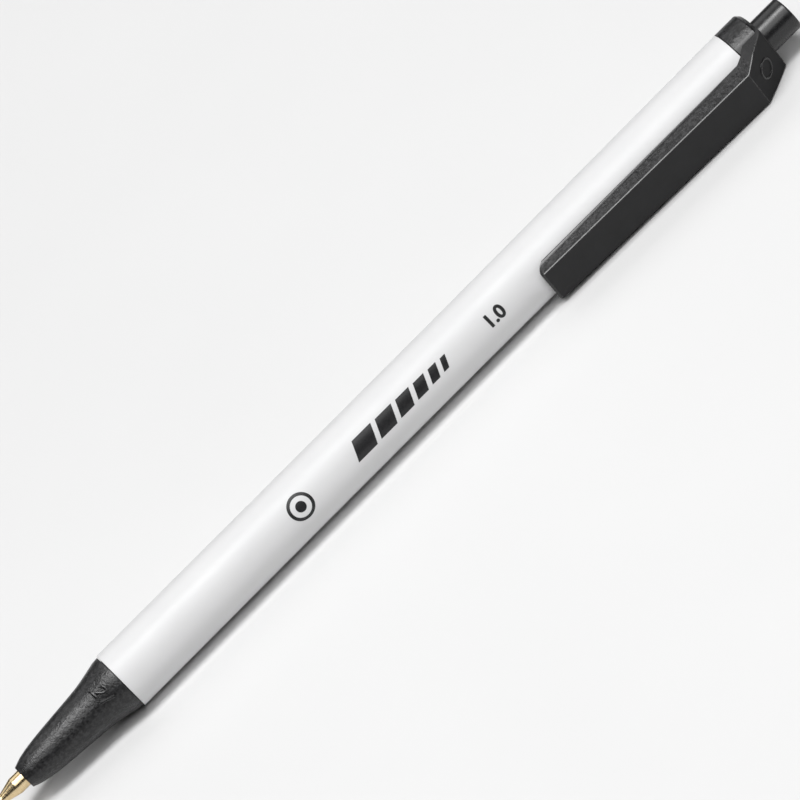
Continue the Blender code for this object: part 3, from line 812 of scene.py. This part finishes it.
class Section:
    """One cross-section of the clip and its root block, drawn in by an inset."""

    def __init__(self, x, inset=0.0):
        self.x = x
        self.inset = inset
        along = share_between(x, CLIP_END, ROOF_END)
        root = share_between(x, FLEX_LINE, ROOF_END)
        flare = share_between(x, ROOF_END, FLARE_END)
        self.roof = mixed(CLIP_END_HEIGHT, CLIP_ROOT_HEIGHT, along)
        slope = CLIP_ROOT_HEIGHT - SLOPE_FALL * (x - ROOF_END)
        self.top = soft_least(self.roof, slope, CREASE_SOFTNESS) - inset
        self.hollow = mixed(CLIP_HOLLOW_FRONT, CLIP_HOLLOW_REAR, along) + inset
        roof_half = mixed(CLIP_END_HALF_WIDTH, CLIP_ROOT_HALF_WIDTH, along)
        self.roof_half = mixed(roof_half, BLOCK_TOP_HALF_WIDTH, flare)
        self.strip_lean = EDGE_STRIP_LEAN * (1 - root)
        self.foot_half = mixed(CLIP_FOOT_HALF_WIDTH - self.strip_lean, BLOCK_FOOT_HALF_WIDTH, flare)
        arm_foot = math.sqrt(CLIP_HOLLOW_FRONT**2 - CLIP_FOOT_HALF_WIDTH**2)
        self.foot = mixed(arm_foot, BLOCK_FOOT_HEIGHT, root)

    def half_width(self, height):
        share = (height - self.foot) / (self.roof - self.foot)
        return mixed(self.foot_half, self.roof_half, share) - self.inset

    def foot_on_hollow(self):
        """The height at which the clip's side meets the hollow over the barrel."""
        low, high = 0.0, self.top
        for _ in range(30):
            middle = (low + high) / 2
            if math.hypot(middle, self.half_width(middle)) < self.hollow:
                low = middle
            else:
                high = middle
        return low

    def underside(self):
        """Points from the foot to the middle, as (height, side)."""
        steps = UNDERSIDE_STEPS
        if self.x > COLLAR_FRONT:
            half = self.half_width(BLOCK_FOOT_HEIGHT)
            return [(BLOCK_FOOT_HEIGHT, half * (1 - k / steps)) for k in range(steps + 1)]
        height = self.foot_on_hollow()
        reach = math.atan2(self.half_width(height) + self.strip_lean, height)
        angles = [reach * (1 - k / steps) for k in range(steps)]
        arc = [(self.hollow * math.cos(a), self.hollow * math.sin(a)) for a in angles]
        return arc + [(self.hollow, 0.0)]

    def half_outline(self):
        """Points from the middle of the roof, down the side and back under, as (height, side)."""
        edge = self.top - ROOF_EDGE_DROP
        corner = self.half_width(edge) - ROOF_EDGE_INSET
        foot = FOOT_CHAMFER + (BLOCK_FOOT_HEIGHT if self.x > COLLAR_FRONT else self.foot_on_hollow())
        strip = min(foot + EDGE_STRIP, (foot + edge) / 2)
        kink = max(self.top + self.inset - CLIP_END_UPRIGHT, (strip + edge) / 2)
        sketch = [
            (self.top, 0.0),
            (self.top, corner, ROOF_EDGE_FILLET),
            (edge, self.half_width(edge), ROOF_EDGE_FILLET),
            (kink, self.half_width(kink)),
            (strip, self.half_width(strip)),
            (foot, self.half_width(foot) + self.strip_lean),
        ]
        outline = rounded(sketch, closed=False)
        outline[1:1] = [(self.top, corner * share) for share in (0.3, 0.6)]
        return outline + self.underside()

    def ring(self):
        """The whole outline as points in the pen's axes, slanted near the clip's free end."""
        half = self.half_outline()
        both = half + [(height, -side) for height, side in reversed(half[1:-1])]
        fade = 1 - share_between(self.x, CLIP_END + EDGE_STRIP, CLIP_END + CLIP_SLANT_FADE)
        points = []
        for height, side in both:
            drop = self.top + self.inset - height
            slant = CLIP_END_SLANT * drop
            slant += (CLIP_END_UNDERCUT - CLIP_END_SLANT) * max(drop - CLIP_END_UPRIGHT, 0.0)
            points.append(Vector((self.x + slant * fade, -height, side)))
        return points


def clip_stations():
    """Where the clip's sections are, each with its inset; they lie closer where it bends or ends."""
    stations = [(CLIP_END, EDGE_STRIP_LEAN + 0.04), (CLIP_END + 0.04, EDGE_STRIP_LEAN)]
    first = CLIP_END + EDGE_STRIP
    stations.append((first, 0.0))
    arm_end = BEND_END - 0.4
    stations += [(mixed(first, arm_end, k / ARM_STEPS), 0.0) for k in range(1, ARM_STEPS)]
    last = ROOF_END - 0.25
    stations += [(mixed(arm_end, last, k / BEND_STEPS), 0.0) for k in range(BEND_STEPS + 1)]
    for crease in (ROOF_END, FLARE_END):
        stations += [(crease + offset, 0.0) for offset in (-0.12, -0.05, 0.0, 0.05, 0.12)]
    stations += [(COLLAR_FRONT - 0.2, 0.0), (COLLAR_FRONT - 0.001, 0.0), (COLLAR_FRONT + 0.03, 0.0)]
    rear = COLLAR_REAR - 0.02
    stations += [(mixed(FLARE_END + 0.2, rear - REAR_FILLET, k / 4), 0.0) for k in range(4)]
    for k in range(FILLET_STEPS + 1):
        turn = math.pi / 2 * k / FILLET_STEPS
        stations.append((rear - REAR_FILLET * (1 - math.sin(turn)), REAR_FILLET * (1 - math.cos(turn))))
    return sorted(stations)


def slope_wedge():
    """All that is above the sloped face, a hair deeper so that the clip's own face covers the cut."""
    beyond = COLLAR_REAR + COLLAR_RADIUS
    above = CLIP_ROOT_HEIGHT + COLLAR_RADIUS
    start = ROOF_END - (above - CLIP_ROOT_HEIGHT) / SLOPE_FALL
    low = CLIP_ROOT_HEIGHT - SLOPE_FALL * (beyond - ROOF_END)
    outline = [(start, above), (beyond, low), (beyond, above)]
    half = 2 * COLLAR_RADIUS
    ends = []
    for side in (-half, half):
        ends.append([Vector((x, WEDGE_DEPTH - height, side)) for x, height in outline])
    return loft(ends)


def cap_finish(face):
    """Which of the cap's finishes a face has, as its place in the list that make_cap is given."""
    slope = Vector((SLOPE_FALL, -1.0, 0.0)).normalized()
    roof_rise = (CLIP_ROOT_HEIGHT - CLIP_END_HEIGHT) / (ROOF_END - CLIP_END)
    roof = Vector((-roof_rise, -1.0, 0.0)).normalized()
    if face.normal.dot(roof) > SAME_WAY:
        return SMOOTH
    if face.normal.dot(slope) > SAME_WAY:
        return SATIN
    middle = face.calc_center_median()
    height = -middle.y
    section = Section(middle.x)
    on_side = height > 1.0 and abs(middle.z) > section.half_width(height) - OFF_SIDE
    beside_roof = abs(middle.z) > section.roof_half - ROOF_EDGE_INSET - OFF_SIDE
    if height > section.top - ROOF_EDGE_DROP and beside_roof:
        return POLISHED
    if middle.x > COLLAR_FRONT:
        return POLISHED if on_side and height > BLOCK_FOOT_HEIGHT else TEXTURED
    on_free_end = face.normal.x < -0.25 and middle.x < CLIP_END + 2
    if on_free_end:
        return POLISHED
    if on_side and height < section.foot_on_hollow() + FOOT_CHAMFER + EDGE_STRIP:
        return POLISHED
    return COARSE


def make_cap(finishes):
    """Collar, root block and clip in one moulding."""
    collar = [
        (COLLAR_FRONT, COLLAR_RADIUS, 0.06),
        (COLLAR_REAR - COLLAR_CHAMFER, COLLAR_RADIUS, 0.25),
        (COLLAR_REAR, COLLAR_RADIUS - COLLAR_CHAMFER, 0.12),
        (COLLAR_REAR, COLLAR_CORE),
        (COLLAR_FRONT, COLLAR_CORE),
    ]
    bore = [
        (BORE_START, 0.0),
        (BORE_START, SPIGOT_RADIUS + SLEEVE_SEAT),
        (SLEEVE_REAR, SPIGOT_RADIUS + SLEEVE_SEAT),
        (SLEEVE_REAR, SLEEVE_BORE),
        (COLLAR_REAR - REAR_WALL, SLEEVE_BORE),
        (COLLAR_REAR - REAR_WALL, BUTTON_HOLE_RADIUS),
        (COLLAR_REAR - BUTTON_HOLE_CHAMFER, BUTTON_HOLE_RADIUS),
        (COLLAR_REAR + CUT_OVERRUN, BUTTON_HOLE_RADIUS + BUTTON_HOLE_CHAMFER + CUT_OVERRUN),
        (COLLAR_REAR + CUT_OVERRUN, 0.0),
    ]
    shape = combined(
        lathe(rounded(collar)),
        ("DIFFERENCE", slope_wedge()),
        ("UNION", loft([Section(x, inset).ring() for x, inset in clip_stations()])),
        ("DIFFERENCE", lathe(bore, closed=False)),
    )
    bmesh.ops.recalc_face_normals(shape, faces=shape.faces)
    for face in shape.faces:
        face.material_index = cap_finish(face)
    cap = piece("cap_and_clip", shape, *finishes)
    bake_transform(cap)
    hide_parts("clip_cap", "clip_arm")


def make_sleeve(black):
    """The cap's inner sleeve, with the ribs that guide plunger and rotor."""
    tube = [
        (SLEEVE_FRONT, SLEEVE_BORE, 0.10),
        (SLEEVE_FRONT, SPIGOT_RADIUS, 0.20),
        (SLEEVE_REAR - SLEEVE_SEAT, SPIGOT_RADIUS),
        (SLEEVE_REAR - SLEEVE_SEAT, SLEEVE_BORE),
    ]
    between_blades = math.pi / BLADE_COUNT
    ribs = boxes_round(
        RIB_FRONT, RIB_REAR, RIB_CREST, RIB_FOOT, RIB_HALF_WIDTH, between_blades, front_rise=CAM_RISE
    )
    shape = combined(lathe(rounded(tube)), ("UNION", ribs))
    sleeve = piece("cap_sleeve", shape, black)
    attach(sleeve, "barrel")


def blades(front, rear, rear_rise=0.0):
    """The blades of plunger and rotor, which slide between the sleeve's ribs."""
    return boxes_round(
        front, rear, BLADE_FOOT, BLADE_TIP, BLADE_HALF_WIDTH, math.pi / 2, rear_rise=rear_rise
    )


def make_button(polished):
    """The push button and its toothed plunger, one moulding."""
    outline = [
        (PLUNGER_BORE_END, 0.0),
        (PLUNGER_BORE_END, PLUNGER_BORE),
        (PLUNGER_FRONT, PLUNGER_BORE),
        (PLUNGER_FRONT, PLUNGER_RADIUS),
        (BUTTON_HEAD_FRONT, PLUNGER_RADIUS),
        (BUTTON_HEAD_FRONT, BUTTON_RADIUS, 0.10),
        (BUTTON_REAR - BUTTON_DOME, BUTTON_RADIUS, BUTTON_EDGE),
        (BUTTON_REAR - BUTTON_DOME / 4, BUTTON_RADIUS / 2, 1.0),
        (BUTTON_REAR, 0.0),
    ]
    shape = lathe(rounded(outline, closed=False), closed=False)
    cut_teeth(shape, PLUNGER_FRONT, PLUNGER_BORE, PLUNGER_RADIUS, 1)
    fins = blades(PLUNGER_BLADE_FRONT, PLUNGER_BLADE_REAR)
    button = piece("push_button_moulding", combined(shape, ("UNION", fins)), polished)
    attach(button, "button")
    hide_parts("push_button")


def make_rotor(natural):
    """The cam that turns on the refill's rear end."""
    outline = [
        (ROTOR_FRONT, ROTOR_SOCKET),
        (ROTOR_FRONT, PLUNGER_RADIUS, 0.15),
        (ROTOR_REAR, PLUNGER_RADIUS),
        (ROTOR_REAR, PLUNGER_BORE),
        (ROTOR_RECESS, PLUNGER_BORE),
        (ROTOR_RECESS, ROTOR_VENT),
        (ROTOR_SOCKET_END, ROTOR_VENT),
        (ROTOR_SOCKET_END, ROTOR_SOCKET),
    ]
    shape = lathe(rounded(outline))
    cut_teeth(shape, ROTOR_REAR, PLUNGER_BORE, PLUNGER_RADIUS, -1)
    fins = blades(ROTOR_BLADE_FRONT, ROTOR_BLADE_REAR, rear_rise=CAM_RISE)
    rotor = piece("rotor_cam", combined(shape, ("UNION", fins)), natural)
    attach(rotor, "rotor")
    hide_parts("rotor")


# ---------------------------------------------------------------- print and moulded number


def sliced(shape):
    """A flat shape cut into narrow strips, so that it can follow a round surface."""
    for axis in (0, 1):
        low = min(corner.co[axis] for corner in shape.verts)
        high = max(corner.co[axis] for corner in shape.verts)
        normal = Vector((0.0, 0.0, 0.0))
        normal[axis] = 1.0
        for k in range(1, math.ceil((high - low) / SLICE)):
            everything = shape.verts[:] + shape.edges[:] + shape.faces[:]
            place = normal * (low + k * SLICE)
            bmesh.ops.bisect_plane(shape, geom=everything, plane_co=place, plane_no=normal)
    return shape


def numerals(text, height, weight, depth=0.0, bevel=0.0):
    """Digits in the plane, their middle at the origin.

    A weight makes them bolder, a depth makes them solid, and a bevel rounds and widens their edges.
    """
    curve = bpy.data.curves.new("numerals", "FONT")
    curve.body = text
    curve.size = height / DIGIT_SHARE
    curve.extrude = depth / 2
    curve.bevel_depth = bevel
    curve.bevel_resolution = 2
    curve.offset = weight
    curve.resolution_u = 6
    item = bpy.data.objects.new("numerals", curve)
    bpy.context.scene.collection.objects.link(item)
    evaluated = item.evaluated_get(bpy.context.evaluated_depsgraph_get())
    shape = bmesh.new()
    shape.from_mesh(evaluated.to_mesh())
    bpy.data.objects.remove(item)
    bmesh.ops.remove_doubles(shape, verts=shape.verts, dist=1e-4)
    low = [min(corner.co[axis] for corner in shape.verts) for axis in (0, 1)]
    high = [max(corner.co[axis] for corner in shape.verts) for axis in (0, 1)]
    middle = Vector(((low[0] + high[0]) / 2, (low[1] + high[1]) / 2, 0.0))
    bmesh.ops.translate(shape, verts=shape.verts, vec=-middle)
    return shape


def flat_ring(shape, centre, inner, outer):
    """A ring drawn in the plane; with no inner radius it is a disc."""
    turns = [2 * math.pi * k / RING_SIDES for k in range(RING_SIDES)]
    rim = [shape.verts.new((centre + outer * math.cos(a), outer * math.sin(a), 0.0)) for a in turns]
    if not inner:
        shape.faces.new(rim)
        return
    hole = [shape.verts.new((centre + inner * math.cos(a), inner * math.sin(a), 0.0)) for a in turns]
    for k in range(RING_SIDES):
        j = (k + 1) % RING_SIDES
        shape.faces.new((hole[k], rim[k], rim[j], hole[j]))


def slanted_bar(shape, start, length, half):
    corners = [(start, -half), (start + length, -half), (start + length, half), (start, half)]
    shape.faces.new([shape.verts.new((x + BAR_LEAN * y, y, 0.0)) for x, y in corners])


def make_print(ink):
    """A plain ring and disc, a row of slanted bars that grow narrower, and the line width."""
    marks = bmesh.new()
    flat_ring(marks, CIRCLE_MARK_X, *CIRCLE_MARK_RADII)
    flat_ring(marks, CIRCLE_MARK_X, 0.0, CIRCLE_MARK_DOT)
    start = BARS_START
    for k in range(BAR_COUNT):
        length = BAR_LENGTH - BAR_SHORTENING * k
        slanted_bar(marks, start, length, BAR_HALF_HEIGHT - BAR_NARROWING * k)
        start += length + BAR_GAP
    sliced(marks)
    width = sliced(numerals("1.0", height=1.9, weight=0.10))
    shape = bmesh.new()
    for part, (along, aside) in ((marks, (0.0, 0.0)), (width, LINE_WIDTH_PLACE)):
        bmesh.ops.translate(part, verts=part.verts, vec=(along, aside, 0.0))
        mesh = mesh_of(part)
        shape.from_mesh(mesh)
        bpy.data.meshes.remove(mesh)
    for corner in shape.verts:
        x, y, _ = corner.co
        radius = barrel_radius(x) + PRINT_LIFT
        corner.co = point_round(x, radius, PRINT_ROUND + y / radius)
    for face in shape.faces:
        face.normal_update()
        if face.normal.dot(point_round(0.0, 1.0, PRINT_ROUND)) < 0:
            face.normal_flip()
    marking = piece("barrel_print", shape, ink)
    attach(marking, "barrel")


def make_cavity_number(black):
    """The mould's cavity number, raised on the nose cone."""
    shape = sliced(numerals("21", height=2.0, weight=-0.09, depth=0.04, bevel=0.21))
    for corner in shape.verts:
        across, along, depth = corner.co
        x = NUMBER_PLACE + along
        radius = nose_radius(x)
        turn = NUMBER_ROUND - (across + NUMERAL_LEAN * along) / radius
        corner.co = point_round(x, radius + depth, turn)
    bmesh.ops.recalc_face_normals(shape, faces=shape.faces)
    number = piece("cavity_number", shape, black)
    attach(number, "barrel")


def make_raised_ring(black):
    """A plain raised ring on the sloped face behind the clip."""
    tilt = math.atan(SLOPE_FALL)
    along = Vector((math.cos(tilt), math.sin(tilt), 0.0))
    across = Vector((0.0, 0.0, 1.0))
    out = Vector((math.sin(tilt), -math.cos(tilt), 0.0))
    height = CLIP_ROOT_HEIGHT - SLOPE_FALL * (RING_PLACE - ROOF_END)
    middle = Vector((RING_PLACE, -height, 0.0)) - RING_THICKNESS / 4 * out
    shape = bmesh.new()
    loops = []
    for turn in [2 * math.pi * k / RING_SIDES for k in range(RING_SIDES)]:
        away = along * math.cos(turn) + across * math.sin(turn)
        loop = []
        for a in [2 * math.pi * k / RING_TUBE_SIDES for k in range(RING_TUBE_SIDES)]:
            reach = RING_RADIUS + RING_THICKNESS * math.cos(a)
            loop.append(shape.verts.new(middle + reach * away + RING_THICKNESS * math.sin(a) * out))
        loops.append(loop)
    for loop, following in zip(loops, loops[1:] + loops[:1]):
        for i in range(RING_TUBE_SIDES):
            j = (i + 1) % RING_TUBE_SIDES
            shape.faces.new((loop[i], loop[j], following[j], following[i]))
    bmesh.ops.recalc_face_normals(shape, faces=shape.faces)
    ring = piece("raised_ring", shape, black)
    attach(ring, "barrel")


# ---------------------------------------------------------------- studio


def aimed(item, place, target, roll=0.0):
    """Point a camera or a light at a target. Without roll, the pen's length lies level across its view."""
    ahead = (target - place).normalized()
    right = (Vector((1.0, 0.0, 0.0)) - ahead.x * ahead).normalized()
    up = right.cross(ahead)
    turned_right = right * math.cos(roll) - up * math.sin(roll)
    turned_up = right * math.sin(roll) + up * math.cos(roll)
    axes = Matrix((turned_right, turned_up, -ahead)).transposed().to_4x4()
    item.matrix_world = Matrix.Translation(place) @ axes


def make_camera():
    camera = bpy.data.objects.new("camera", bpy.data.cameras.new("camera"))
    bpy.context.scene.collection.objects.link(camera)
    camera.data.lens = LENS
    camera.data.sensor_width = 36.0
    camera.data.clip_start = 0.05
    camera.data.clip_end = 20.0
    back = Vector((0.0, -math.cos(CAMERA_ELEVATION), math.sin(CAMERA_ELEVATION)))
    rise = Vector((0.0, math.sin(CAMERA_ELEVATION), math.cos(CAMERA_ELEVATION)))
    target = CENTRE_LINE + Vector((AIM_X, 0.0, 0.0)) + AIM_RISE * rise
    place = CENTRE_LINE + Vector((CAMERA_X, 0.0, 0.0)) + AIM_RISE * rise + CAMERA_DISTANCE * back
    aimed(camera, place, target, CAMERA_ROLL)
    bpy.context.scene.camera = camera


def make_light(name, elevation, size, power, azimuth=0.0):
    """A softbox at an elevation over the floor; azimuth 0 is on the camera's side."""
    data = bpy.data.lights.new(name, "AREA")
    data.shape = "RECTANGLE"
    data.size, data.size_y = size
    data.energy = power
    light = bpy.data.objects.new(name, data)
    bpy.context.scene.collection.objects.link(light)
    e, a = math.radians(elevation), math.radians(azimuth)
    place = LIGHT_DISTANCE * Vector((math.sin(a) * math.cos(e), -math.cos(a) * math.cos(e), math.sin(e)))
    aimed(light, place, Vector((0.0, 0.0, 0.0)))


def make_world():
    """A dim room: brighter behind and overhead than at the horizon on the camera's side."""
    world = bpy.data.worlds.new("studio")
    world.use_nodes = True
    bpy.context.scene.world = world
    tree = world.node_tree
    background = tree.nodes["Background"]
    place = tree.nodes.new("ShaderNodeTexCoord")
    split = tree.nodes.new("ShaderNodeSeparateXYZ")
    tree.links.new(place.outputs["Generated"], split.inputs["Vector"])
    mix = tree.nodes.new("ShaderNodeMath")
    mix.operation = "MULTIPLY_ADD"
    mix.inputs[1].default_value = 0.5
    tree.links.new(split.outputs["Y"], mix.inputs[0])
    tree.links.new(split.outputs["Z"], mix.inputs[2])
    ramp = tree.nodes.new("ShaderNodeMapRange")
    for name, value in (("From Min", -0.4), ("From Max", 1.0), ("To Min", 0.26), ("To Max", 0.46)):
        ramp.inputs[name].default_value = value
    tree.links.new(mix.outputs["Value"], ramp.inputs["Value"])
    tree.links.new(ramp.outputs["Result"], background.inputs["Strength"])


def make_floor(surface):
    shape = bmesh.new()
    bmesh.ops.create_grid(shape, x_segments=4, y_segments=4, size=4.0)
    mesh = mesh_of(shape)
    mesh.materials.append(surface)
    floor = bpy.data.objects.new("floor", mesh)
    bpy.context.scene.collection.objects.link(floor)


def make_studio():
    make_camera()
    make_world()
    make_light("softbox_overhead", elevation=79, size=(1.6, 0.55), power=28.8)
    make_light("softbox_front", elevation=52, size=(1.6, 1.0), power=11.5)
    make_light("softbox_behind", elevation=52, size=(1.6, 1.1), power=7.0, azimuth=180)
    make_floor(studio_floor())
    bpy.context.scene.view_settings.view_transform = "Standard"


def make_pen():
    textured = textured_black()
    smooth = smooth_black("smooth_black_plastic", 0.28)
    satin = smooth_black("satin_black_plastic", 0.10)
    polished = polished_black()
    natural = natural_plastic()
    make_barrel(glossy_white())
    make_print(printed_ink())
    make_nose(textured)
    make_cavity_number(polished)
    make_cap((textured, smooth, polished, coarse_black(), satin))
    make_raised_ring(polished)
    make_sleeve(smooth)
    make_button(polished)
    make_rotor(natural)
    make_refill_tube(clear_plastic())
    make_ink(thick_ink())
    make_holder(natural)
    make_point(turned_brass())
    make_ball(ground_carbide())
    make_spring(drawn_steel())


make_studio()
make_pen()
